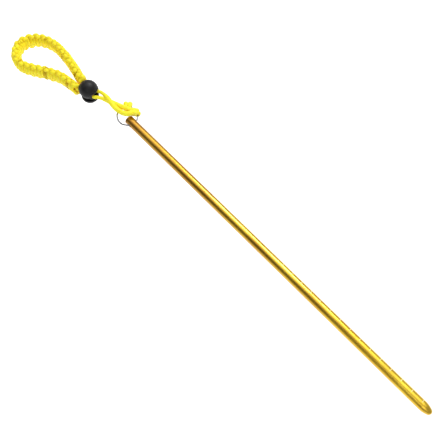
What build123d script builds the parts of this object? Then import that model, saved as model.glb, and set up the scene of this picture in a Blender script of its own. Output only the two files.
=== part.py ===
from build123d import *
import math
import os

# A diver's pointer stick: a solid anodised bar with a centimetre scale, a split ring through its
# cross hole, and an adjustable wrist lanyard made of cord, a woven band and a spring cord lock.
# Millimetres. The origin is the tip's apex on the bar's axis, +X runs from the tip to the lanyard
# (x is the scale reading), +Z is up, and the stick lies on a table at z = -BAR_RADIUS.

# ---- bar ----
BAR_LENGTH = 336.0
BAR_RADIUS = 4.0
TIP_LENGTH = 5.6
TIP_HALF_ANGLE = 20.0
TIP_NOSE_RADIUS = 2.8
TIP_SHOULDER_RADIUS = 14.0
END_CHAMFER = 1.1
HOLE_RADIUS = 1.7
HOLE_FROM_END = 6.0
HOLE_MOUTH_DEPTH = 0.88
HOLE_MOUTH_SINK = 0.14      # how far the mouth cone stands proud of the bar before it is cut
TICK_COUNT = 15
TICK_STEP = 10.0
TICK_WIDTH = 0.6
TICK_DEPTH = 0.12
TICK_OVERCUT = 0.05         # how far the groove's cutter stands proud of the bar
TICK_FROM_ANGLE = 4.0       # measured from straight up, round towards -Y
TICK_ARC = 50.0

# ---- split ring ----
RING_RADIUS = 8.8           # to the middle of the flat wire
RING_WIRE_WIDTH = 1.1
RING_WIRE_HEIGHT = 0.88
RING_COIL_GAP = 0.04
RING_WIRE_CORNER = 0.2
RING_STEP_SECTIONS = 6
RING_STEP_ANGLE = 118.0     # where the wire steps from the lower to the upper coil
RING_STEP_HALF = 14.0
RING_LIFT = 8.0             # the ring leans up from the hole, held by the cord
RING_OFFSET_Y = -1.0        # the ring hangs a little to one side of the bar

# ---- cord ----
CORD_RADIUS = 1.55
CORD_CLEARANCE = 0.1
CORD_LEVEL = 5.65           # height of the cords through the lock
WRAP_RADIUS = 2.78          # middle of the cord where it goes round the ring's wire
WRAP_ANGLES = (-124.0, -44.0)
CROSS_POINT = (358.1, 2.2)  # where the two cords come together between the ring and the lock
TAIL_ANGLE = 17.0           # direction from the crossing to the lock
PIVOT_GAP = 0.7             # free length of cord left out where two cord sections hinge
MERGED_HALF_SPACING = 1.65
# ways the cords bow between the ring and the crossing
LEFT_BOW = (0.8, -2.0, 0.3)     # from the ring's centre, and above the cord level
OVER_BOW = (4.5, 1.0, 2.0)      # from the top of the low wrap
RIGHT_BOW = (5.0, 3.6, 1.6)     # from the top of the high wrap

# ---- cord lock ----
LOCK_FROM_CROSS = 21.0
LOCK_HALF_SPACING = 3.35
LOCK_RADIUS = 8.2
LOCK_EQUATOR = 7.7          # height of the ball's middle
BODY_RIM = 3.0              # height of the ball's open underside
BORE_RADIUS = 5.95
BORE_TOP = 11.6
SPRING_POCKET_RADIUS = 3.4
SPRING_POCKET_TOP = 13.7
LIP_REACH = 8.4
LIP_MARGIN = 0.9
SLOT_HALF_WIDTH = 5.0
SLOT_HEIGHT = 5.0
SLOT_CORNER = 1.2
BUTTON_RADIUS = 7.5
BUTTON_ROUND = 2.8
BUTTON_TRAVEL = 2.8
BUTTON_GAP = 0.15
STEM_CLEARANCE = 0.05
STEM_HEAD = 1.4
STEM_SLOT_EXTRA = 0.3
STEM_CHAMFER = 0.4
BLEND = 1.0                 # how far joined pieces run into each other
SPRING_WIRE_RADIUS = 0.28
SPRING_RADIUS = 2.6
SPRING_TURNS = 3.0
SPRING_SEAT_GAP = 0.02
BIG = 80.0                  # longer than any feature it cuts

# ---- wrist band ----
BAND_THICKNESS = 7.8
BAND_WIDTH = 13.4
BAND_CORNER = 2.6
BAND_HALF_SPACING = 4.0
BAND_FROM_LOCK = 9.0
BAND_TRIM = 2.0             # the band runs on this far before its ends are cut square to the lock
BAND_LINKS = 7
BAND_JOINT_GAP = 0.7
BAND_THROAT_LEVEL = 4.0
BAND_FAR_LEVEL = 2.75
BAND_FAR_X = 462.0
BAND_LEAVES = (1.0, -0.05)
BAND_RETURNS = (-1.0, -0.1)
BAND_SAMPLES = 20           # points taken along each section when its pieces are sorted
CORE_OFFSET = 1.6           # the two core cords lie one above the other inside the weave
CORE_CHANNEL_RADIUS = 1.65
CORE_RAMP = 15.0
CORE_POINTS = 28
CORE_INSET = 0.3            # the cores stop short of the weave's ends
CORE_TUCK = 2.0             # the free core end stays this far from the rising one
CORE_SPREAD = 8.0           # the cords leave the lock closer together than the band's middle lines
# the band's middle line in plan, from the far side of the throat round to its near side
BAND_WAYPOINTS = (
    (402.0, 3.7),
    (427.3, -0.1),
    (449.0, 2.8),
    (461.8, 19.0),
    (447.2, 35.2),
    (432.0, 30.8),
    (407.5, 17.4),
)

TABLE = -BAR_RADIUS
HOLE_X = BAR_LENGTH - HOLE_FROM_END


def polar(centre, radius, degrees):
    """Point at a radius and angle round a centre in plan."""
    angle = math.radians(degrees)
    return centre[0] + radius * math.cos(angle), centre[1] + radius * math.sin(angle)


def ring_frame():
    """The ring's own frame: its centre, leaning up about the hole. Its wire clears the hole."""
    near = math.sqrt(RING_RADIUS**2 - (BAR_RADIUS - RING_OFFSET_Y) ** 2)
    along = (near + RING_RADIUS) / 2
    return Pos(HOLE_X, 0, 0) * Rot(0, -RING_LIFT, 0) * Pos(along, RING_OFFSET_Y, 0)


def ring_point(radius, degrees, height):
    """Point in the ring's frame, given round its centre and above its middle plane."""
    return (ring_frame() * Pos(*polar((0, 0), radius, degrees), height)).position


def tail_point(along, across, level=CORD_LEVEL):
    """Point in the cords' own frame: along from the crossing to the lock, across to the left."""
    angle = math.radians(TAIL_ANGLE)
    x = CROSS_POINT[0] + along * math.cos(angle) - across * math.sin(angle)
    y = CROSS_POINT[1] + along * math.sin(angle) + across * math.cos(angle)
    return Vector(x, y, level)


def cord(points, tangents=None):
    """Round cord along a smooth line, with rounded ends."""
    line = Spline(*points, tangents=tangents) if len(points) > 2 or tangents else Line(*points)
    profile = Plane(origin=line @ 0, z_dir=line % 0) * Circle(CORD_RADIUS)
    body = sweep(profile, path=line)
    return body + Pos(*(line @ 0)) * Sphere(CORD_RADIUS) + Pos(*(line @ 1)) * Sphere(CORD_RADIUS)


def make_bar():
    """Solid bar: blunt cone tip, chamfered end, cross hole and a row of engraved scale marks."""
    half = math.radians(TIP_HALF_ANGLE)
    cone_apex = TIP_LENGTH - BAR_RADIUS / math.tan(half)
    nose_centre = cone_apex + TIP_NOSE_RADIUS / math.sin(half)
    nose_start = nose_centre - TIP_NOSE_RADIUS
    tangent_x = nose_centre - TIP_NOSE_RADIUS * math.sin(half)
    tangent_r = TIP_NOSE_RADIUS * math.cos(half)
    arc_angle = (math.pi / 2 - half) / 2
    arc_mid = (
        nose_centre - TIP_NOSE_RADIUS * math.cos(arc_angle),
        TIP_NOSE_RADIUS * math.sin(arc_angle),
    )
    nose = ThreePointArc((nose_start, 0), arc_mid, (tangent_x, tangent_r))
    outline = Polyline(
        (tangent_x, tangent_r),
        (TIP_LENGTH, BAR_RADIUS),
        (BAR_LENGTH - END_CHAMFER, BAR_RADIUS),
        (BAR_LENGTH, BAR_RADIUS - END_CHAMFER),
        (BAR_LENGTH, 0),
        (nose_start, 0),
    )
    profile = make_face(nose + outline)
    shoulder = profile.vertices().sort_by_distance((TIP_LENGTH, BAR_RADIUS, 0))[0]
    bar = revolve(fillet(shoulder, TIP_SHOULDER_RADIUS), axis=Axis.X)
    hole = Pos(HOLE_X, 0, 0) * Rot(90, 0, 0) * Cylinder(HOLE_RADIUS, 4 * BAR_RADIUS)
    bar = bar - hole
    for side in (-1, 1):
        mouth = Cone(HOLE_RADIUS, HOLE_RADIUS + HOLE_MOUTH_DEPTH, HOLE_MOUTH_DEPTH)
        place = Pos(HOLE_X, side * (BAR_RADIUS - HOLE_MOUTH_SINK), 0) * Rot(-90 * side, 0, 0)
        bar = bar - place * mouth
    for number in range(1, TICK_COUNT + 1):
        bar = bar - tick_cut(number * TICK_STEP)
    return bar


def tick_cut(x):
    """Shallow V groove, engraved part of the way round the bar at one centimetre."""
    top = TICK_DEPTH + TICK_OVERCUT
    half = TICK_WIDTH / 2 * top / TICK_DEPTH
    groove = Polyline(
        (x - half, BAR_RADIUS + TICK_OVERCUT),
        (x, BAR_RADIUS - TICK_DEPTH),
        (x + half, BAR_RADIUS + TICK_OVERCUT),
        close=True,
    )
    cut = revolve(make_face(groove), axis=Axis.X, revolution_arc=TICK_ARC)
    return Rot(90 + TICK_FROM_ANGLE, 0, 0) * cut


def ring_profile(angle, level):
    """Rounded wire section standing at an angle of the ring."""
    x, y = polar((0, 0), RING_RADIUS, angle)
    out = (math.cos(math.radians(angle)), math.sin(math.radians(angle)), 0)
    along = (-out[1], out[0], 0)
    section = RectangleRounded(RING_WIRE_WIDTH, RING_WIRE_HEIGHT, RING_WIRE_CORNER)
    return Plane(origin=(x, y, level), x_dir=out, z_dir=along) * section


def make_split_ring():
    """Two flat coils of one wire, joined by a step, with a free end each side of the step."""
    level = (RING_WIRE_HEIGHT + RING_COIL_GAP) / 2
    start = RING_STEP_ANGLE + RING_STEP_HALF
    end = RING_STEP_ANGLE + 360 - RING_STEP_HALF
    ring = None
    for side in (-1, 1):
        coil = revolve(ring_profile(start, side * level), axis=Axis.Z, revolution_arc=end - start)
        ring = coil if ring is None else ring + coil
    sections = []
    for index in range(RING_STEP_SECTIONS + 1):
        share = index / RING_STEP_SECTIONS
        rise = -math.cos(math.pi * share)
        angle = RING_STEP_ANGLE + (2 * share - 1) * RING_STEP_HALF
        sections.append(ring_profile(angle, rise * level))
    ring = ring + loft(sections)
    return ring_frame() * ring


def ring_wrap(angle):
    """Cord taken once round the ring's wire."""
    x, y = polar((0, 0), RING_RADIUS, angle)
    wrap = Rot(0, 0, angle) * Rot(90, 0, 0) * Torus(WRAP_RADIUS, CORD_RADIUS)
    return ring_frame() * Pos(x, y, 0) * wrap


def make_hitch():
    """The lanyard's own loop, hitched to the ring: two wraps and the cords that leave them."""
    low_wrap, high_wrap = WRAP_ANGLES
    end = -PIVOT_GAP / 2 - CORD_RADIUS
    left_end = tail_point(end, MERGED_HALF_SPACING)
    right_end = tail_point(end, -MERGED_HALF_SPACING)
    low = ring_point(RING_RADIUS, low_wrap, WRAP_RADIUS)
    high = ring_point(RING_RADIUS, high_wrap, WRAP_RADIUS)
    centre = ring_frame().position
    middle = Vector(centre.X, centre.Y, CORD_LEVEL) + Vector(*LEFT_BOW)
    left = cord([low, middle, left_end])
    over = cord([low, low + Vector(*OVER_BOW), right_end])
    right = cord([high, high + Vector(*RIGHT_BOW), right_end])
    return ring_wrap(low_wrap) + ring_wrap(high_wrap) + left + over + right


def make_tail(side):
    """One of the two cords from the crossing, through the lock, to the band's end."""
    start = tail_point(PIVOT_GAP / 2 + CORD_RADIUS, side * MERGED_HALF_SPACING)
    mouth = tail_point(LOCK_FROM_CROSS - LIP_REACH, side * LOCK_HALF_SPACING)
    end = tail_point(throat_along() - PIVOT_GAP - CORD_RADIUS, side * LOCK_HALF_SPACING)
    along = (end - mouth).normalized()
    spread = cord([start, mouth], tangents=[along, along])
    return spread + cord([mouth, end])


def throat_along():
    """Distance from the crossing to the band's ends."""
    return LOCK_FROM_CROSS + BAND_FROM_LOCK


def lock_place():
    """The lock stands upright on the cords, its slot along them; z = 0 is the cords' middle."""
    centre = tail_point(LOCK_FROM_CROSS, 0)
    return Pos(*centre) * Rot(0, 0, TAIL_ANGLE)


def slot(half_width, low, high, length):
    """Slot with rounded corners along X, between two heights."""
    profile = RectangleRounded(2 * half_width, high - low, SLOT_CORNER)
    plane = Plane(origin=(-length / 2, 0, (low + high) / 2), x_dir=(0, 1, 0), z_dir=(1, 0, 0))
    return extrude(plane * profile, length)


def make_lock_body():
    """Ball with an open underside, a stepped bore and a cross slot for both cords."""
    equator = LOCK_EQUATOR - CORD_LEVEL
    rim = BODY_RIM - CORD_LEVEL
    slot_low = -CORD_RADIUS - CORD_CLEARANCE
    slot_high = slot_low + SLOT_HEIGHT
    keep = Pos(0, 0, rim + 2 * LOCK_RADIUS) * Box(BIG, BIG, 4 * LOCK_RADIUS)
    ball = Pos(0, 0, equator) * Sphere(LOCK_RADIUS)
    lip_width = SLOT_HALF_WIDTH + LIP_MARGIN
    lips = slot(lip_width, slot_low - LIP_MARGIN, slot_high + LIP_MARGIN, BIG)
    body = (ball & keep) + (lips & Cylinder(LIP_REACH, BIG))
    bore_high = BORE_TOP - CORD_LEVEL
    bore_low = rim - BLEND
    bore = Pos(0, 0, (bore_low + bore_high) / 2) * Cylinder(BORE_RADIUS, bore_high - bore_low)
    pocket_high = SPRING_POCKET_TOP - CORD_LEVEL
    pocket = Pos(0, 0, pocket_high / 2) * Cylinder(SPRING_POCKET_RADIUS, pocket_high)
    return body - bore - pocket - slot(SLOT_HALF_WIDTH, slot_low, slot_high, BIG)


def make_button():
    """Push button on a stem; the top edge of the stem's slot holds the cords down in the body."""
    bottom = TABLE - CORD_LEVEL
    shoulder = BODY_RIM - CORD_LEVEL - BUTTON_TRAVEL - BUTTON_GAP
    slot_high = CORD_RADIUS + CORD_CLEARANCE
    slot_low = -CORD_RADIUS - STEM_SLOT_EXTRA - BUTTON_TRAVEL
    top = stem_top()
    button = Pos(0, 0, (bottom + shoulder) / 2) * Cylinder(BUTTON_RADIUS, shoulder - bottom)
    button = fillet(button.edges().filter_by(GeomType.CIRCLE).sort_by(Axis.Z)[0], BUTTON_ROUND)
    radius = BORE_RADIUS - STEM_CLEARANCE
    foot = shoulder - BLEND
    stem = Pos(0, 0, (foot + top) / 2) * Cylinder(radius, top - foot)
    stem = chamfer(stem.edges().filter_by(GeomType.CIRCLE).sort_by(Axis.Z)[-1], STEM_CHAMFER)
    return button + stem - slot(SLOT_HALF_WIDTH, slot_low, slot_high, BIG)


def stem_top():
    """Height of the button's stem above the cords' middle."""
    return CORD_RADIUS + CORD_CLEARANCE + STEM_HEAD


def make_spring():
    """Compression spring between the ball's pocket and the top of the button's stem."""
    seat = SPRING_WIRE_RADIUS + SPRING_SEAT_GAP
    low = stem_top() + seat
    high = SPRING_POCKET_TOP - CORD_LEVEL - seat
    line = Pos(0, 0, low) * Helix((high - low) / SPRING_TURNS, high - low, SPRING_RADIUS)
    profile = Plane(origin=line @ 0, z_dir=line % 0) * Circle(SPRING_WIRE_RADIUS)
    return sweep(profile, path=line, is_frenet=True)


def band_frame():
    """The band's plane leaves the lock at cord height and slopes down to the table."""
    throat = tail_point(throat_along(), 0)
    drop = math.atan2(BAND_THROAT_LEVEL - BAND_FAR_LEVEL, BAND_FAR_X - throat.X)
    return Pos(throat.X, throat.Y, BAND_THROAT_LEVEL) * Rot(0, math.degrees(drop), 0)


def band_line():
    """The band's middle line in its own plane, from the far end to the near end."""
    throat = tail_point(throat_along(), 0)
    far = tail_point(throat_along() - BAND_TRIM, -BAND_HALF_SPACING)
    near = tail_point(throat_along() - BAND_TRIM, BAND_HALF_SPACING)
    points = [(far.X, far.Y), *BAND_WAYPOINTS, (near.X, near.Y)]
    local = [(x - throat.X, y - throat.Y) for x, y in points]
    return Spline(*local, tangents=[BAND_LEAVES, BAND_RETURNS])


def at_length(line, length):
    """Point and direction at a distance along a line."""
    share = length / line.length
    return line.position_at(share), line.tangent_at(share)


def ease(share):
    """Smooth step from 0 to 1."""
    share = min(1.0, max(0.0, share))
    return share * share * (3 - 2 * share)


def core_line(line, start, end, level, rises):
    """Middle line of one core cord inside the weave; the rising one ends level with the lock."""
    points = []
    for index in range(CORE_POINTS + 1):
        length = start + (end - start) * index / CORE_POINTS
        point, along = at_length(line, length)
        inward = Vector(-along.Y, along.X, 0)
        close = ease(1 - (length - BAND_TRIM) / CORE_SPREAD)
        close += ease(1 - (line.length - BAND_TRIM - length) / CORE_SPREAD)
        point = point + inward * close * (BAND_HALF_SPACING - LOCK_HALF_SPACING)
        height = level
        if rises:
            height += 2 * CORE_OFFSET * ease(1 - (line.length - length) / CORE_RAMP)
        points.append((point.X, point.Y, height))
    return Spline(*points)


def core_pair(line, radius, inset):
    """Both core cords: each runs in from one side of the lock and ends beside the other."""
    cores = []
    ends = ((inset, line.length - CORE_RAMP - CORE_TUCK + radius, CORE_OFFSET, False),
            (inset, line.length - inset, -CORE_OFFSET, True))
    for start, end, level, rises in ends:
        path = core_line(line, start, end, level, rises)
        profile = Plane(origin=path @ 0, z_dir=path % 0) * Circle(radius)
        cores.append(sweep(profile, path=path))
    return cores


def joint_cutter(line, length):
    """Thin slab across the band where two sections hinge."""
    point, along = at_length(line, length)
    slab = Box(BAND_JOINT_GAP, 2 * BAND_THICKNESS, 2 * BAND_WIDTH)
    return Plane(origin=point, x_dir=along, z_dir=(0, 0, 1)) * slab


def end_cutter():
    """Block that trims the band's two ends square to the lock, in the band's own plane."""
    block = Pos(-LOCK_FROM_CROSS, 0, 0) * Box(2 * LOCK_FROM_CROSS, BIG, 2 * BAND_WIDTH)
    return Rot(0, 0, TAIL_ANGLE) * block


def split_band(solids, line):
    """Cuts the band or its cores at every hinge and groups the pieces by section."""
    step = line.length / BAND_LINKS
    cutters = [joint_cutter(line, number * step) for number in range(1, BAND_LINKS)]
    cutters.append(end_cutter())
    samples = []
    for index in range(BAND_SAMPLES * BAND_LINKS):
        place = at_length(line, (index + 0.5) * step / BAND_SAMPLES)[0]
        samples.append((place, index // BAND_SAMPLES))
    groups = [[] for _ in range(BAND_LINKS)]
    for solid in solids:
        for cutter in cutters:
            solid = solid - cutter
        for piece in solid.solids():
            middle = piece.center(CenterOf.BOUNDING_BOX)
            flat = Vector(middle.X, middle.Y, 0)
            nearest = min(samples, key=lambda sample: (sample[0] - flat).length)
            groups[nearest[1]].append(piece)
    return groups


def make_band():
    """Woven sleeve sections and the core cord sections inside them."""
    line = band_line()
    place = band_frame()
    section = RectangleRounded(BAND_THICKNESS, BAND_WIDTH, BAND_CORNER)
    across = (line % 0).cross(Vector(0, 0, 1))
    profile = Plane(origin=line @ 0, x_dir=across, z_dir=line % 0) * section
    sleeve = sweep(profile, path=line)
    for channel in core_pair(line, CORE_CHANNEL_RADIUS, 0.0):
        sleeve = sleeve - channel
    sleeves = split_band([sleeve], line)
    cores = split_band(core_pair(line, CORD_RADIUS, CORE_INSET), line)
    placed = []
    for group in (sleeves, cores):
        placed.append([[place * piece for piece in pieces] for pieces in group])
    return placed


def build():
    """Every node of the assembly by name."""
    nodes = {
        "rod": make_bar(),
        "split_ring": make_split_ring(),
        "ring_hitch": make_hitch(),
        "tail_cord_left": make_tail(1),
        "tail_cord_right": make_tail(-1),
        "lock_body": lock_place() * make_lock_body(),
        "lock_button": lock_place() * make_button(),
        "lock_spring": lock_place() * make_spring(),
    }
    sleeves, cores = make_band()
    for number in range(BAND_LINKS):
        nodes[f"band_weave_{number + 1}"] = Compound(sleeves[number])
        nodes[f"band_core_{number + 1}"] = Compound(cores[number])
    return nodes


os.makedirs("parts", exist_ok=True)
for name, shape in build().items():
    export_step(shape, f"parts/{name}.step")
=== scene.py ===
import math

import bpy
import numpy as np
from mathutils import Matrix, Vector


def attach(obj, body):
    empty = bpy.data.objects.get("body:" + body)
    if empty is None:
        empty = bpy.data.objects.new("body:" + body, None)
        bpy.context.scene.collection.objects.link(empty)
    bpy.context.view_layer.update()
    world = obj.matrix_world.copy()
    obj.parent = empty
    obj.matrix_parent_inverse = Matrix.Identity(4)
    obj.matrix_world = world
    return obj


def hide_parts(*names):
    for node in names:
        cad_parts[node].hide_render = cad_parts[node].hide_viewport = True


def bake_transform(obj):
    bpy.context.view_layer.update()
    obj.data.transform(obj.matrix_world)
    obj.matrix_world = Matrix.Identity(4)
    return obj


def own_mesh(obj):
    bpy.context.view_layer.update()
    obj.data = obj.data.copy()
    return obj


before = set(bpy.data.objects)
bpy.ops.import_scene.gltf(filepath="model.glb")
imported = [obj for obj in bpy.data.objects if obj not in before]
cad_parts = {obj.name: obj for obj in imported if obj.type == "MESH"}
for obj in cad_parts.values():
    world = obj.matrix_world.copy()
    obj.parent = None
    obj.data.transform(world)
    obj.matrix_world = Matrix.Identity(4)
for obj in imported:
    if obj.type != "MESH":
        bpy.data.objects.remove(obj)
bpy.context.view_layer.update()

MM = 0.001

# ------------------------------------------------------------------ where things are (millimetres)
# x runs along the bar from its tip, z is up, and the bar's middle line is at y = z = 0
BAR_LENGTH = 336.0
TICK_STEP = 10.0
TICK_FIRST = 10.0
TICK_LAST = 150.0
TICK_HALF = 0.3
TICK_FROM = 4.0  # degrees round the bar, from its top towards -y
TICK_TO = 54.0
RING_LIFT = math.radians(8.0)
RING_R = 8.8
RING_CENTRE = Vector((337.943, -1.0, 1.116))

# the two cords cross at CROSS and run from there along TAIL, through the lock, to the band's throat
CROSS = Vector((358.1, 2.2, 0.0))
TAIL_ANGLE = math.radians(17.0)
TAIL = Vector((math.cos(TAIL_ANGLE), math.sin(TAIL_ANGLE), 0.0))
LEFT = Vector((-math.sin(TAIL_ANGLE), math.cos(TAIL_ANGLE), 0.0))
CORD_LEVEL = 5.65
CORD_R = 1.5
LOCK_ALONG = 21.0
LOCK_SEAM = 7.7
THROAT_ALONG = 30.0
THROAT_HALF = 3.35

BAND_LEVEL = 4.0  # of its middle line at the throat
BAND_END_LEVEL = 2.75  # and at the far end of the loop
BAND_REACH = 75.21
BAND_DROP = math.atan2(BAND_LEVEL - BAND_END_LEVEL, BAND_REACH)
BAND_WIDTH = 14.5
BAND_THICK = 8.4
KNOTS = 56  # half knots of the cobra weave
LINKS = 7  # hinged lengths of the band
# middle line of the band in plan, from the right of the throat round the loop to its left
BAND_PLAN = (
    (386.0, 6.6), (398.5, 4.5), (410.9, 1.9), (423.4, 0.2), (436.1, -0.3),
    (448.3, 2.5), (458.3, 10.1), (461.4, 21.9), (454.2, 32.0), (442.3, 35.1),
    (430.8, 30.1), (420.0, 23.4), (408.7, 17.8), (396.3, 15.3), (383.7, 14.2),
)


def mm(v):
    """Millimetres to metres."""
    return Vector(v) * MM


def tail_at(along, across, level):
    """Point along the two cords from their crossing, across them, and up from the bar's middle line."""
    p = CROSS + TAIL * along + LEFT * across
    return Vector((p.x, p.y, level))


def ring_at(radius, degrees, height):
    """Point at a radius and an angle of the leaning ring, and a height over its plane."""
    a = math.radians(degrees)
    x, y = radius * math.cos(a), radius * math.sin(a)
    c, s = math.cos(RING_LIFT), math.sin(RING_LIFT)
    return RING_CENTRE + Vector((x * c - height * s, y, x * s + height * c))


# ------------------------------------------------------------------ curves and tubes
def smooth_line(points, step):
    """Centripetal Catmull-Rom through points, sampled about every step."""
    p = [np.array(v, float) for v in points]
    p = [2 * p[0] - p[1]] + p + [2 * p[-1] - p[-2]]
    out = []
    for i in range(1, len(p) - 2):
        a, b, c, d = p[i - 1], p[i], p[i + 1], p[i + 2]
        times = [0.0]
        for start, stop in ((a, b), (b, c), (c, d)):
            times.append(times[-1] + max(np.linalg.norm(stop - start), 1e-6) ** 0.5)
        t0, t1, t2, t3 = times
        n = max(2, int(np.linalg.norm(c - b) / step))
        for k in range(n):
            t = t1 + (t2 - t1) * k / n
            a1 = (t1 - t) / (t1 - t0) * a + (t - t0) / (t1 - t0) * b
            a2 = (t2 - t) / (t2 - t1) * b + (t - t1) / (t2 - t1) * c
            a3 = (t3 - t) / (t3 - t2) * c + (t - t2) / (t3 - t2) * d
            b1 = (t2 - t) / (t2 - t0) * a1 + (t - t0) / (t2 - t0) * a2
            b2 = (t3 - t) / (t3 - t1) * a2 + (t - t1) / (t3 - t1) * a3
            out.append((t2 - t) / (t2 - t1) * b1 + (t - t1) / (t2 - t1) * b2)
    out.append(p[-2])
    return np.array(out)


def even(line, step):
    """The same line with points at even distances."""
    dist = distances(line)
    n = max(2, int(round(dist[-1] / step)))
    at = np.linspace(0, dist[-1], n + 1)
    return np.stack([np.interp(at, dist, line[:, k]) for k in range(3)], 1)


def relaxed(values, passes=3):
    """Kinks softened: each inner value moves halfway to the mean of its neighbours, passes times."""
    for _ in range(passes):
        values[1:-1] = 0.25 * values[:-2] + 0.5 * values[1:-1] + 0.25 * values[2:]
    return values


def distances(path):
    """Distance run along a path at each of its points."""
    return np.concatenate([[0], np.cumsum(np.linalg.norm(np.diff(path, axis=0), axis=1))])


def frames(path, up=None):
    """Tangent and two side vectors at each point: after up, or turning as little as possible."""
    t = np.gradient(path, axis=0)
    t /= np.linalg.norm(t, axis=1)[:, None]
    side = np.zeros_like(path)
    ref = np.array((0.0, 0.0, 1.0)) if up is None else up[0]
    if abs(np.dot(ref, t[0])) > 0.9:
        ref = np.array((0.0, 1.0, 0.0))
    side[0] = ref - t[0] * np.dot(ref, t[0])
    side[0] /= np.linalg.norm(side[0])
    for i in range(1, len(path)):
        r = side[i - 1] if up is None else up[i]
        v = r - t[i] * np.dot(r, t[i])
        side[i] = v / max(np.linalg.norm(v), 1e-9)
    return t, side, np.cross(t, side)


def new_mesh(name, verts, faces, uvs=None, smooth=True):
    """Object in the scene with a mesh in metres; uvs holds one (u, v) for each corner of each face."""
    mesh = bpy.data.meshes.new(name)
    mesh.from_pydata([tuple(v) for v in verts], [], faces)
    if uvs is not None:
        layer = mesh.uv_layers.new(name="cord")
        flat = np.array([uv for face in uvs for uv in face], np.float32).ravel()
        layer.data.foreach_set("uv", flat)
    mesh.polygons.foreach_set("use_smooth", [smooth] * len(mesh.polygons))
    mesh.update()
    obj = bpy.data.objects.new(name, mesh)
    bpy.context.scene.collection.objects.link(obj)
    return obj


class Parts:
    """Collects tubes into one mesh."""

    CAP_RINGS = ((0.5, 0.87), (0.85, 0.53))  # of a rounded end: lift and size, as shares of the radius

    def __init__(self):
        self.v, self.f, self.uv = [], [], []

    def tube(self, path, radius, sides, flat=1.0, up=None, caps=(True, True), keep=None):
        """Round tube in mm, or flattened to a share across up; only the points in keep are built."""
        path = np.array(path, float)
        r = np.broadcast_to(np.array(radius, float), (len(path),))
        t, a, b = frames(path, up)
        u = distances(path)
        if keep is not None:
            path, r, t, a, b, u = (v[keep] for v in (path, r, t, a, b, u))
        n = len(path)
        base = len(self.v)
        ang = np.linspace(0, 2 * math.pi, sides, endpoint=False)
        ring = path[:, None, :] + (
            (r * flat)[:, None, None] * np.cos(ang)[None, :, None] * a[:, None, :]
            + r[:, None, None] * np.sin(ang)[None, :, None] * b[:, None, :]
        )
        self.v.extend((ring.reshape(-1, 3) * MM).tolist())
        for i in range(n - 1):
            for k in range(sides):
                k2 = (k + 1) % sides
                self.f.append((base + i * sides + k, base + i * sides + k2,
                               base + (i + 1) * sides + k2, base + (i + 1) * sides + k))
                v0, v1 = k / sides, (k + 1) / sides
                self.uv.append(((u[i], v0), (u[i], v1), (u[i + 1], v1), (u[i + 1], v0)))
        for end, wanted in enumerate(caps):
            if wanted:
                self.cap(path, base, n, sides, r, t, u, end)

    def cap(self, path, base, n, sides, r, t, u, end):
        """Rounded end of a tube: end 0 is its first ring of points, end 1 its last."""
        i = 0 if end == 0 else n - 1
        out = -t[0] if end == 0 else t[-1]
        ring0 = base + i * sides
        centre = path[i]
        rim = np.array(self.v[ring0:ring0 + sides]) / MM - centre
        prev = ring0
        for lift, share in self.CAP_RINGS:
            start = len(self.v)
            pts = centre + rim * share + out * r[i] * lift
            self.v.extend((pts * MM).tolist())
            self.strip(prev, start, sides, end, u[i])
            prev = start
        tip = len(self.v)
        self.v.append(tuple((centre + out * r[i]) * MM))
        for k in range(sides):
            k2 = (k + 1) % sides
            face = (prev + k2, prev + k, tip) if end == 0 else (prev + k, prev + k2, tip)
            self.f.append(face)
            self.uv.append(((u[i], k / sides),) * 3)

    def strip(self, low, high, sides, end, u):
        """Faces between two rings of points of a rounded end."""
        for k in range(sides):
            k2 = (k + 1) % sides
            face = (low + k, low + k2, high + k2, high + k)
            self.f.append(face[::-1] if end == 0 else face)
            v0, v1 = k / sides, (k + 1) / sides
            self.uv.append(((u, v0), (u, v1), (u, v1), (u, v0)))

    def build(self, name, material):
        obj = new_mesh(name, self.v, self.f, self.uv)
        obj.data.materials.append(material)
        return obj


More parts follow.
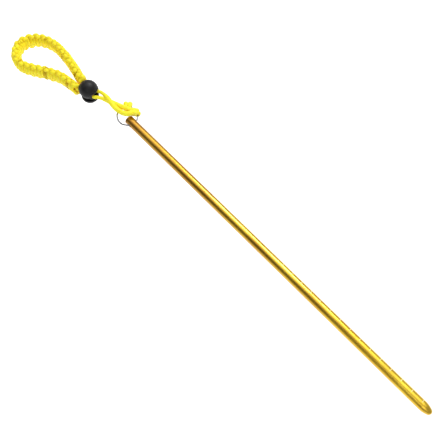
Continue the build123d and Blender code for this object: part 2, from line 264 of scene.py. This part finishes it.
# ------------------------------------------------------------------ shader helpers
class Tree:
    """Short-hand for building a node tree."""

    def __init__(self, name):
        self.mat = bpy.data.materials.new(name)
        self.mat.use_nodes = True
        self.t = self.mat.node_tree
        self.t.nodes.clear()
        self.out = self.t.nodes.new("ShaderNodeOutputMaterial")
        self.bsdf = self.t.nodes.new("ShaderNodeBsdfPrincipled")
        self.t.links.new(self.bsdf.outputs[0], self.out.inputs[0])

    def set(self, socket, value):
        if isinstance(value, bpy.types.NodeSocket):
            self.t.links.new(value, socket)
        else:
            socket.default_value = value

    def math(self, op, a, b=0.0):
        n = self.t.nodes.new("ShaderNodeMath")
        n.operation = op
        self.set(n.inputs[0], a)
        self.set(n.inputs[1], b)
        return n.outputs[0]

    def uv(self):
        """Millimetres along a cord, and share of a turn round it."""
        n = self.t.nodes.new("ShaderNodeUVMap")
        s = self.t.nodes.new("ShaderNodeSeparateXYZ")
        self.t.links.new(n.outputs[0], s.inputs[0])
        return s.outputs[0], s.outputs[1]

    def place(self):
        """Place on the object in metres, whole and as its three numbers."""
        n = self.t.nodes.new("ShaderNodeTexCoord")
        s = self.t.nodes.new("ShaderNodeSeparateXYZ")
        self.t.links.new(n.outputs["Object"], s.inputs[0])
        return n.outputs["Object"], s.outputs

    def noise(self, vector, scale, detail=3.0, rough=0.55, stretch=None):
        """Noise of about scale features to the metre, stretched along an axis where that is below 1."""
        n = self.t.nodes.new("ShaderNodeTexNoise")
        if stretch is not None:
            m = self.t.nodes.new("ShaderNodeMapping")
            m.inputs["Scale"].default_value = stretch
            self.t.links.new(vector, m.inputs["Vector"])
            vector = m.outputs[0]
        self.t.links.new(vector, n.inputs["Vector"])
        n.inputs["Scale"].default_value = scale
        n.inputs["Detail"].default_value = detail
        n.inputs["Roughness"].default_value = rough
        return n.outputs[0]

    def crevice_shade(self, reach):
        """Mask for painted shade: 1 in the open, falling to 0 where other surfaces crowd in within
        reach.
        """
        n = self.t.nodes.new("ShaderNodeAmbientOcclusion")
        n.samples = 8
        n.inputs["Distance"].default_value = reach
        return self.ramp(n.outputs["AO"], 0.25, 0.85)

    def ramp(self, value, low, high, out_low=0.0, out_high=1.0):
        """Out_low at low and out_high at high, in a straight line between them and level beyond."""
        n = self.t.nodes.new("ShaderNodeMapRange")
        n.clamp = True
        ends = {"From Min": low, "From Max": high, "To Min": out_low, "To Max": out_high}
        for key, end in ends.items():
            n.inputs[key].default_value = end
        self.set(n.inputs["Value"], value)
        return n.outputs[0]

    def mix(self, share, a, b):
        n = self.t.nodes.new("ShaderNodeMix")
        n.data_type = "RGBA"
        self.set(n.inputs[0], share)
        self.set(n.inputs[6], a)
        self.set(n.inputs[7], b)
        return n.outputs[2]

    def bump(self, height, strength, distance):
        n = self.t.nodes.new("ShaderNodeBump")
        n.inputs["Strength"].default_value = strength
        n.inputs["Distance"].default_value = distance
        self.set(n.inputs["Height"], height)
        return n.outputs[0]

    def finish(self, **values):
        """Sets the surface's inputs, with an underscore for each space in their names."""
        for key, value in values.items():
            self.set(self.bsdf.inputs[key.replace("_", " ")], value)
        return self.mat


def srgb(r, g, b):
    """Colour as seen on a screen, 0 to 255, to the linear colour a shader takes."""
    def lin(c):
        c /= 255.0
        return c / 12.92 if c <= 0.04045 else ((c + 0.055) / 1.055) ** 2.4
    return (lin(r), lin(g), lin(b), 1.0)


SHEATH_YARNS = 9  # of each family, round the cord
SHEATH_PITCH = 2.0
FUZZ_DEPTH = 0.16 * MM
# reach of the painted shade in the crevices of the cords
CREVICE_SHADE_REACH = 2.6 * MM
GLOW_THROUGH = 1.6 * MM  # how far light gets into the nylon


def cord_material(name, light, dark, deep):
    """Braided nylon sheath: two families of yarns crossing round the cord, slightly uneven dye, a
    painted highlight on the yarn crowns and painted shade in the crevices.
    """
    m = Tree(name)
    u, v = m.uv()
    place, _ = m.place()
    turn = m.math("MULTIPLY", v, 2 * math.pi * SHEATH_YARNS)
    run = m.math("MULTIPLY", u, 2 * math.pi / SHEATH_PITCH)
    one = m.math("SINE", m.math("ADD", run, turn))
    two = m.math("SINE", m.math("SUBTRACT", run, turn))
    weave = m.math("MULTIPLY", one, two)
    peak = m.math("MAXIMUM", m.math("ABSOLUTE", one), m.math("ABSOLUTE", two))
    height = m.math("ADD", m.math("MULTIPLY", weave, 0.35), m.math("MULTIPLY", peak, 0.65))
    fuzz = m.noise(place, 2600.0, 4.0, 0.6)
    height = m.math("ADD", height, m.math("MULTIPLY", fuzz, 0.35))
    uneven = m.noise(place, 190.0, 3.0, 0.5)
    # painted highlight: the crowns of the yarns turn towards the light colour and the gaps between them
    # stay dark, as painted shade; uneven adds real dye variation
    painted_crown_light = m.math("MULTIPLY", m.ramp(peak, 0.55, 1.0), 0.55)
    share = m.math("ADD", painted_crown_light, m.ramp(uneven, 0.3, 0.7, 0.0, 0.45))
    # painted shade: the colour goes to deep where other surfaces crowd in
    colour = m.mix(m.crevice_shade(CREVICE_SHADE_REACH), deep, m.mix(share, dark, light))
    normal = m.bump(height, 0.55, FUZZ_DEPTH)
    return m.finish(Base_Color=colour, Roughness=m.ramp(fuzz, 0.3, 0.7, 0.5, 0.72), Normal=normal,
                    Sheen_Weight=0.15, Sheen_Roughness=0.4, Sheen_Tint=(1.0, 0.97, 0.6, 1.0),
                    Specular_IOR_Level=0.35, Subsurface_Weight=0.35,
                    Subsurface_Radius=(1.0, 0.8, 0.12), Subsurface_Scale=GLOW_THROUGH)


TICK_MARGIN = 2.5
TICK_FADE = 0.2
WORN_TIP = 7.0
STREAK_DEPTH = 0.04 * MM


def scale_mark(m, xyz):
    """1 on a scale mark of the bar and 0 beside it."""
    x, y, z = xyz
    away = m.math("PINGPONG", x, TICK_STEP * MM / 2)
    on_tick = m.ramp(away, TICK_HALF * MM * 0.85, TICK_HALF * MM * 1.15, 1.0, 0.0)
    angle = m.math("ARCTAN2", m.math("MULTIPLY", y, -1.0), z)
    deg = m.math("MULTIPLY", angle, 180 / math.pi)
    past_start = m.ramp(deg, TICK_FROM - 1, TICK_FROM)
    before_end = m.ramp(deg, TICK_TO, TICK_TO + 1, 1.0, 0.0)
    inside = m.math("MULTIPLY", past_start, before_end)
    first, last = (TICK_FIRST - TICK_MARGIN) * MM, (TICK_LAST + TICK_MARGIN) * MM
    past_first = m.ramp(x, first, first + TICK_FADE * MM)
    before_last = m.ramp(x, last, last + TICK_FADE * MM, 1.0, 0.0)
    span = m.math("MULTIPLY", past_first, before_last)
    return m.math("MULTIPLY", m.math("MULTIPLY", on_tick, inside), span)


def bar_material():
    """Gold anodised aluminium: drawn-bar streaks, fine scratches, pale scale marks, worn tip, and a
    painted change of reflection along the bar.
    """
    m = Tree("anodised_gold")
    place, xyz = m.place()
    x = xyz[0]
    streak = m.noise(place, 900.0, 3.0, 0.6, stretch=(0.02, 1.0, 1.0))
    scratch = m.noise(place, 2600.0, 2.0, 0.5, stretch=(0.15, 1.0, 1.0))
    cloud = m.noise(place, 60.0, 3.0, 0.5)
    # painted reflection: the gold runs from pale lemon at the tip to deeper orange towards the ring,
    # standing in for the reflection changing along the bar
    painted_reflection_shift = m.ramp(x, 0.0, BAR_LENGTH * MM)
    pale = m.mix(painted_reflection_shift, srgb(240, 206, 46), srgb(184, 138, 18))
    deep = m.mix(painted_reflection_shift, srgb(208, 160, 12), srgb(166, 108, 2))
    share = m.math("ADD", m.math("MULTIPLY", streak, 0.5), m.math("MULTIPLY", cloud, 0.5))
    gold = m.mix(m.ramp(share, 0.35, 0.65), deep, pale)
    tick = scale_mark(m, xyz)
    specks = m.ramp(m.noise(place, 5200.0, 2.0), 0.62, 0.72)
    worn = m.math("MULTIPLY", specks, m.ramp(x, 0.0, WORN_TIP * MM, 0.8, 0.0))
    colour = m.mix(worn, m.mix(tick, gold, srgb(242, 224, 146)), srgb(205, 200, 190))
    metal = m.math("SUBTRACT", 1.0, m.math("MULTIPLY", tick, 0.5))
    rough = m.math("ADD", m.ramp(scratch, 0.3, 0.7, 0.2, 0.32), m.math("MULTIPLY", tick, 0.3))
    height = m.math("ADD", m.math("MULTIPLY", streak, 0.6), m.math("MULTIPLY", scratch, 0.4))
    return m.finish(Base_Color=colour, Metallic=metal, Roughness=rough,
                    Normal=m.bump(height, 0.12, STREAK_DEPTH), Coat_Weight=0.8, Coat_Roughness=0.15)


MARK_DEPTH = 0.03 * MM


def steel_material(name, tone):
    """Bright drawn steel with fine marks and a little dulling."""
    m = Tree(name)
    place, _ = m.place()
    marks = m.noise(place, 3500.0, 3.0, 0.6)
    dull = m.noise(place, 420.0, 3.0, 0.6)
    colour = m.mix(m.ramp(dull, 0.35, 0.7), tone, srgb(92, 90, 89))
    return m.finish(Base_Color=colour, Metallic=1.0, Roughness=m.ramp(marks, 0.3, 0.7, 0.18, 0.38),
                    Normal=m.bump(marks, 0.2, MARK_DEPTH))


SEAM_HALF = 0.04
SEAM_FADE = 0.12
GRAIN_DEPTH = 0.12 * MM


def plastic_material():
    """Black moulded nylon: fine spark-eroded grain, faint scuffs and a parting line round the ball."""
    m = Tree("lock_black")
    place, xyz = m.place()
    grain = m.noise(place, 3800.0, 4.0, 0.65)
    scuff = m.noise(place, 520.0, 4.0, 0.7)
    off_seam = m.math("ABSOLUTE", m.math("SUBTRACT", xyz[2], LOCK_SEAM * MM))
    line = m.ramp(off_seam, SEAM_HALF * MM, (SEAM_HALF + SEAM_FADE) * MM, 1.0, 0.0)
    colour = m.mix(m.ramp(scuff, 0.5, 0.78, 0.0, 0.6), srgb(13, 13, 15), srgb(34, 34, 39))
    height = m.math("ADD", m.math("MULTIPLY", grain, 0.5), m.math("MULTIPLY", line, 0.6))
    return m.finish(Base_Color=colour, Roughness=m.ramp(scuff, 0.35, 0.7, 0.42, 0.62),
                    Normal=m.bump(height, 0.35, GRAIN_DEPTH), Specular_IOR_Level=0.3)


# light and dark mix a painted highlight on the yarn crowns with uneven dye; the last colour, deep, is
# painted shade for the crevices
CORD = cord_material("cord_yellow", srgb(255, 250, 52), srgb(248, 226, 26), srgb(250, 212, 12))
BAND = cord_material("band_yellow", srgb(255, 248, 42), srgb(244, 206, 8), srgb(248, 196, 0))
STEEL = steel_material("ring_steel", srgb(138, 138, 143))
SPRING = steel_material("spring_steel", srgb(205, 205, 208))
PLASTIC = plastic_material()
GOLD = bar_material()


def dress(node, material):
    """A CAD piece shown as it is, in a material."""
    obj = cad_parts[node]
    obj.data.materials.clear()
    obj.data.materials.append(material)


dress("rod", GOLD)
dress("split_ring", STEEL)
dress("lock_body", PLASTIC)
dress("lock_button", PLASTIC)

# ------------------------------------------------------------------ the spring inside the lock
SPRING_LOW, SPRING_HIGH, SPRING_SEAT = 9.0, 13.4, 13.7
SPRING_TURNS = 3.0
SPRING_POINTS = 97
SPRING_R, SPRING_WIRE = 2.6, 0.28
LOCK_AT = tail_at(LOCK_ALONG, 0, 0)


def coil_at(share):
    """Point of the coil at a share of its length."""
    a = 2 * math.pi * SPRING_TURNS * share
    height = SPRING_LOW + (SPRING_HIGH - SPRING_LOW) * share
    return LOCK_AT + Vector((SPRING_R * math.cos(a), SPRING_R * math.sin(a), height))


parts = Parts()
parts.tube([coil_at(share) for share in np.linspace(0, 1, SPRING_POINTS)], SPRING_WIRE, sides=10)
spring = parts.build("lock_coil", SPRING)
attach(spring, "lock")
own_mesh(spring)
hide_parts("lock_spring")

# ------------------------------------------------------------------ the woven band
PLAN_FINE, PLAN_STEP = 0.5, 0.35
plan = even(smooth_line([(x, y, 0.0) for x, y in BAND_PLAN], PLAN_FINE), PLAN_STEP)
PLAN_LENGTH = float(distances(plan)[-1])
THROAT = tail_at(THROAT_ALONG, 0, BAND_LEVEL)
DROP = np.array(Matrix.Rotation(BAND_DROP, 3, "Y"))
plan_dist = np.linspace(0, PLAN_LENGTH, len(plan))
plan_tan = np.gradient(plan, axis=0)
plan_tan /= np.linalg.norm(plan_tan, axis=1)[:, None]


def band_at(s, out, across):
    """Points of the band: distance s along it, out from the loop, and up across its width."""
    s = np.asarray(s, float)
    p = np.stack([np.interp(s, plan_dist, plan[:, k]) for k in range(3)], -1)
    t = np.stack([np.interp(s, plan_dist, plan_tan[:, k]) for k in range(3)], -1)
    t /= np.linalg.norm(t, axis=-1)[..., None]
    over = np.clip(s - PLAN_LENGTH, 0, None) + np.clip(s, None, 0)  # past an end it runs straight on
    side = np.stack([t[..., 1], -t[..., 0], np.zeros_like(s)], -1)
    q = p + t * over[..., None] + side * np.asarray(out)[..., None]
    local = np.stack([q[..., 0] - THROAT.x, q[..., 1] - THROAT.y, np.asarray(across) + 0 * s], -1)
    return local @ DROP.T + np.array(THROAT)


START_S = 2.2
PITCH = (PLAN_LENGTH - 2 * START_S) / KNOTS
STRAND_HALF = 1.85  # half the wide way of a working cord, which is pressed flat
STRAND_THIN = 0.8
THIN = STRAND_HALF * STRAND_THIN
EDGE = BAND_WIDTH / 2 - THIN
FACE = BAND_THICK / 2 - THIN
TUCK = 1.0  # how far a working cord goes past the middle where it turns over an edge
RISE_FROM = 1.6
TURN_DEPTH = 1.5
BAR_POINTS = 8
TURN_POINTS = 10
CUT_OVERLAP = 0.6
STRAND_SIDES = 12


def wobble(size, rate, along, phase):
    """Slow unevenness of hand work."""
    return size * np.sin(along * rate + phase)


def strand_course(front):
    """Working cord of the cobra weave: bars across one face, a round turn over each edge.

    Gives the distance along the band, out from the loop and across the width, how near the
    edge the cord is from 0 to 1, and the side that it starts on.
    """
    sign = 1.0 if front else -1.0
    straight = EDGE - TURN_DEPTH
    s, a = [], []
    for k in range(KNOTS):
        way = sign if k % 2 == 0 else -sign
        first = way * straight if k else 0.0
        last = -way * straight if k < KNOTS - 1 else 0.0
        for share in np.linspace(0, 1, BAR_POINTS, endpoint=False):
            s.append(START_S + (k + 0.5) * PITCH)
            a.append(first + (last - first) * share)
        if k < KNOTS - 1:
            for angle in np.linspace(-90, 90, TURN_POINTS, endpoint=False):
                r = math.radians(angle)
                s.append(START_S + (k + 1 + 0.5 * math.sin(r)) * PITCH)
                a.append(-way * (straight + TURN_DEPTH * math.cos(r)))
    s, a = np.array(s), np.array(a)
    knot = np.arange(len(s)) / (BAR_POINTS + TURN_POINTS)
    high = np.clip((np.abs(a) - RISE_FROM) / (EDGE - RISE_FROM), 0, 1)
    high = high * high * (3 - 2 * high)
    out = sign * (-TUCK + (FACE + TUCK) * np.cos(high * math.pi / 2))
    out = out * (1 + wobble(0.04, 5.1, knot, 0 if front else 2))
    s = s + wobble(0.12, 3.3, knot, 1 if front else 0) + 0.05 * a * sign
    a = a * (1 + wobble(0.025, 4.3, knot, 2 if front else 0))
    return s, out, a, high, sign


def strand(parts, front, low, high):
    """The stretch of one working cord between two distances along the band."""
    s, out, a, edge, sign = strand_course(front)
    inside = np.where((s >= low - CUT_OVERLAP) & (s <= high + CUT_OVERLAP))[0]
    keep = np.arange(inside[0], inside[-1] + 1)
    path = band_at(s, out, a)
    outward = band_at(s, out + 1, a) - path
    upward = band_at(s, out, a + 1) - path
    turn_to = (edge * math.pi / 2)[:, None]
    thin_way = np.cos(turn_to) * outward * sign
    thin_way = thin_way + np.sin(turn_to) * upward * np.sign(a)[:, None]
    half = STRAND_HALF * (1 + wobble(0.04, 0.31, distances(path), sign))
    parts.tube(path, half, STRAND_SIDES, flat=STRAND_THIN, up=thin_way,
               caps=(keep[0] == 0, keep[-1] == len(s) - 1), keep=keep)


CORE_STEP = 0.8
CORE_START = 1.6
CORE_LEVELS = (-1.7, 1.7)


def core(parts, level, low, high):
    """The stretch of one core cord inside the band between two distances along it."""
    s = np.arange(low - CUT_OVERLAP, high + CUT_OVERLAP, CORE_STEP)
    s = np.unique(np.clip(s, CORE_START, PLAN_LENGTH - CORE_START))
    ends = (low < 0, high > PLAN_LENGTH)
    parts.tube(band_at(s, 0 * s, np.full_like(s, level)), CORD_R, STRAND_SIDES, caps=ends)


# each piece is centred on a hinge of the band; the last goes with the band's last link, the others stay
# where they are built
PAST_END = 5.0
HINGE_HALF = 6.0
link = PLAN_LENGTH / LINKS
cuts = [-PAST_END] + [link * (k + 0.5) for k in range(LINKS)] + [PLAN_LENGTH + PAST_END]
for index, (low, high) in enumerate(zip(cuts[:-1], cuts[1:])):
    parts = Parts()
    for front in (True, False):
        strand(parts, front, low, high)
    for level in CORE_LEVELS:
        core(parts, level, low, high)
    piece = parts.build(f"cobra_weave_{index + 1}", BAND)
    if index == LINKS:
        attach(piece, f"link_{LINKS}")
        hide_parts(f"band_weave_{LINKS}", f"band_core_{LINKS}")
        continue
    if index == 0:
        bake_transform(piece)
    else:
        hinge = np.array([-HINGE_HALF, HINGE_HALF]) + index * link
        ends = band_at(hinge, np.zeros(2), np.zeros(2))
        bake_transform(piece)
        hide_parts(f"band_weave_{index}", f"band_core_{index}")

# ------------------------------------------------------------------ the hitch and the two cords
WIRE_REACH = 0.62  # room for the ring's wire, from its middle line
CORD_LEAST = 1.15
THICKER_FROM = 10.5  # along the tail, where the cord starts to swell towards the hitch
THICKER_OVER = 10.0
THICKER_BY = 0.72
TIGHT_OUT, TIGHT_UP = 1.9, 2.3
LOOSE_OUT, LOOSE_UP = 3.0, 2.5
WRAP_STEPS = 8
CORD_FINE, CORD_STEP = 0.4, 0.55


def turn(angle, start, end, out, up):
    """Part turn round the wire at an angle of the ring, from one side angle to another."""
    points = []
    for k in range(WRAP_STEPS + 1):
        a = math.radians(start + (end - start) * k / WRAP_STEPS)
        points.append(ring_at(RING_R + out * math.cos(a), angle, up * math.sin(a)))
    return points


# one cord: from the throat to the ring, round the wire, over to two turns further on, and back
low_over = [
    tail_at(THROAT_ALONG + 1.5, -THROAT_HALF, CORD_LEVEL - 0.4),
    tail_at(THROAT_ALONG - 3, -THROAT_HALF, CORD_LEVEL),
    tail_at(LOCK_ALONG, -THROAT_HALF, CORD_LEVEL),
    tail_at(LOCK_ALONG - 6.5, -THROAT_HALF - 0.3, CORD_LEVEL),
    tail_at(10.6, -3.9, CORD_LEVEL),
    tail_at(6.6, -3.1, CORD_LEVEL + 0.1),
    tail_at(2.3, -1.3, CORD_LEVEL + 1.1),
    Vector((356.1, 2.5, CORD_LEVEL + 1.7)),
    Vector((351.2, 3.1, CORD_LEVEL + 1.3)),
    Vector((346.6, 3.1, CORD_LEVEL + 1.0)),
    Vector((342.0, 2.4, CORD_LEVEL + 1.1)),
    Vector((337.8, 1.2, CORD_LEVEL + 1.7)),
    Vector((335.2, -1.2, CORD_LEVEL + 1.8)),
    Vector((334.7, -4.4, CORD_LEVEL + 1.4)),
]
low_wrap = turn(-116.0, 115.0, -180.0, TIGHT_OUT, TIGHT_UP)
bight_over = [ring_at(4.8, -102.0, 0.8), ring_at(4.4, -78.0, 2.6), ring_at(5.0, -58.0, 1.6)]
high_wrap = turn(-51.0, -170.0, 150.0, LOOSE_OUT, LOOSE_UP)
between = [ring_at(6.2, -42.0, 1.7)]
high_wrap_2 = turn(-33.0, 150.0, -180.0, LOOSE_OUT, LOOSE_UP)
bight_under = [ring_at(5.0, -50.0, -1.7), ring_at(4.7, -78.0, -1.9)]
low_wrap_2 = turn(-98.0, -170.0, 95.0, TIGHT_OUT, TIGHT_UP)
high_over = [
    Vector((337.8, -5.3, CORD_LEVEL + 0.6)),
    Vector((341.2, -3.5, CORD_LEVEL + 1.0)),
    Vector((345.3, -1.8, CORD_LEVEL + 0.8)),
    Vector((350.0, -0.5, CORD_LEVEL - 0.1)),
    Vector((354.8, 0.7, CORD_LEVEL - 1.1)),
    tail_at(0.6, -0.5, CORD_LEVEL - 1.6),
    tail_at(4.1, 0.1, CORD_LEVEL - 0.8),
    tail_at(7.3, 0.8, CORD_LEVEL - 0.2),
    tail_at(10.6, 2.0, CORD_LEVEL),
    tail_at(LOCK_ALONG - 7.5, THROAT_HALF - 0.2, CORD_LEVEL),
    tail_at(LOCK_ALONG, THROAT_HALF, CORD_LEVEL),
    tail_at(THROAT_ALONG - 3, THROAT_HALF, CORD_LEVEL),
    tail_at(THROAT_ALONG + 1.5, THROAT_HALF, CORD_LEVEL - 0.4),
]
run = (low_over + low_wrap + bight_over + high_wrap + between
       + high_wrap_2 + bight_under + low_wrap_2 + high_over)
path = relaxed(even(smooth_line(run, CORD_FINE), CORD_STEP))

# the sheath is pushed up between the crossing and the ring, so the cord swells, but not into the wire
along = (path - np.array(CROSS)) @ np.array(TAIL)
share = np.clip((THICKER_FROM - along) / THICKER_OVER, 0, 1)
fat = CORD_R + THICKER_BY * share * share * (3 - 2 * share)
x, y, z = ((path - np.array(RING_CENTRE)) @ np.array(Matrix.Rotation(-RING_LIFT, 3, "Y"))).T
off_wire = np.hypot(np.hypot(x, y) - RING_R, z)
fat = relaxed(np.minimum(fat, np.maximum(off_wire - WIRE_REACH, CORD_LEAST)))

parts = Parts()
parts.tube(path, fat, sides=16)
hitch = parts.build("leader_cord", CORD)
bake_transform(hitch)
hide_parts("ring_hitch", "tail_cord_left", "tail_cord_right")

# ------------------------------------------------------------------ floor
FLOOR_LEVEL = -155.0 * MM  # far enough down for the lanyard to hang from the stick
FLOOR_HALF = 4.0
FLOOR_GLOW = 0.42  # lifts the floor to the photo's white


def floor_material():
    """White card, very slightly uneven."""
    m = Tree("studio_floor")
    place, _ = m.place()
    white = m.mix(m.noise(place, 3.0), (0.9, 0.9, 0.9, 1), (0.93, 0.93, 0.93, 1))
    return m.finish(Base_Color=white, Roughness=0.9,
                    Emission_Color=(1, 1, 1, 1), Emission_Strength=FLOOR_GLOW)


corners = [(x * FLOOR_HALF, y * FLOOR_HALF, 0) for x, y in ((-1, -1), (1, -1), (1, 1), (-1, 1))]
floor = new_mesh("floor", corners, [(0, 1, 2, 3)], smooth=False)
floor.location.z = FLOOR_LEVEL
floor.data.materials.append(floor_material())

# ------------------------------------------------------------------ light
world = bpy.data.worlds.new("studio")
world.use_nodes = True
wt = world.node_tree
background = wt.nodes["Background"]
coord = wt.nodes.new("ShaderNodeTexCoord")
path_kind = wt.nodes.new("ShaderNodeLightPath")


def patch(direction, inner, outer):
    """1 within an angle of a direction of the room, 0 beyond a wider one."""
    dot = wt.nodes.new("ShaderNodeVectorMath")
    dot.operation = "DOT_PRODUCT"
    wt.links.new(coord.outputs["Generated"], dot.inputs[0])
    dot.inputs[1].default_value = Vector(direction).normalized()
    spread = wt.nodes.new("ShaderNodeMapRange")
    spread.interpolation_type = "SMOOTHSTEP"
    spread.inputs["From Min"].default_value = math.cos(math.radians(outer))
    spread.inputs["From Max"].default_value = math.cos(math.radians(inner))
    wt.links.new(dot.outputs["Value"], spread.inputs["Value"])
    return spread.outputs[0]


def sum_of(op, a, b):
    """Two numbers or sockets put together by op."""
    n = wt.nodes.new("ShaderNodeMath")
    n.operation = op
    for socket, value in zip(n.inputs, (a, b)):
        if isinstance(value, bpy.types.NodeSocket):
            wt.links.new(value, socket)
        else:
            socket.default_value = value
    return n.outputs[0]


# shiny parts see an even grey room with a soft box and a darker patch in it; the rest sees plain light
ROOM = 0.50
SOFT_BOX = 1.35
SOFT_BOX_WAY = (0.3, -0.36, 0.85)
DARK_SIDE = 0.37
DARK_SIDE_WAY = (0.31, 0.74, 0.6)
AMBIENT = 0.62
soft_box = sum_of("MULTIPLY", patch(SOFT_BOX_WAY, inner=10, outer=44), SOFT_BOX)
dark_side = sum_of("MULTIPLY", patch(DARK_SIDE_WAY, inner=9, outer=28), DARK_SIDE)
room = sum_of("SUBTRACT", sum_of("ADD", ROOM, soft_box), dark_side)
seen = wt.nodes.new("ShaderNodeMix")
wt.links.new(path_kind.outputs["Is Glossy Ray"], seen.inputs[0])
seen.inputs[2].default_value = AMBIENT
wt.links.new(room, seen.inputs[3])
background.inputs[0].default_value = (1.0, 1.0, 1.0, 1)
wt.links.new(seen.outputs[0], background.inputs[1])
bpy.context.scene.world = world


def area(name, place, target, size, power):
    """Soft box at a place in metres, aimed at a target."""
    light = bpy.data.lights.new(name, "AREA")
    light.shape = "RECTANGLE"
    light.size, light.size_y = size
    light.energy = power
    obj = bpy.data.objects.new(name, light)
    obj.location = Vector(place)
    obj.rotation_euler = (Vector(target) - Vector(place)).to_track_quat("-Z", "Y").to_euler()
    bpy.context.scene.collection.objects.link(obj)


area("key", (0.5, -0.75, 1.0), (0.25, 0, 0), size=(0.5, 0.4), power=9.0)
area("fill", (-0.3, 0.6, 0.9), (0.3, 0, 0), size=(0.6, 0.6), power=1.5)

# ------------------------------------------------------------------ camera
CAMERA_AT = mm((42.3, 159.2, 480.9))
HEADING = math.radians(-42.72)  # of the view in plan, from the bar's direction
DIP = math.radians(65.0)  # of the view below level
SENSOR = 36.0
LENS = 53.6
forward = Vector((math.cos(HEADING) * math.cos(DIP), math.sin(HEADING) * math.cos(DIP), -math.sin(DIP)))
right = Vector((math.sin(HEADING), -math.cos(HEADING), 0.0))
up = right.cross(forward)
camera = bpy.data.objects.new("camera", bpy.data.cameras.new("camera"))
bpy.context.scene.collection.objects.link(camera)
camera.matrix_world = Matrix.Translation(CAMERA_AT) @ Matrix((right, up, -forward)).transposed().to_4x4()
camera.data.sensor_width = SENSOR
camera.data.lens = LENS
camera.data.clip_start = 0.01
bpy.context.scene.camera = camera
bpy.context.scene.view_settings.view_transform = "Standard"
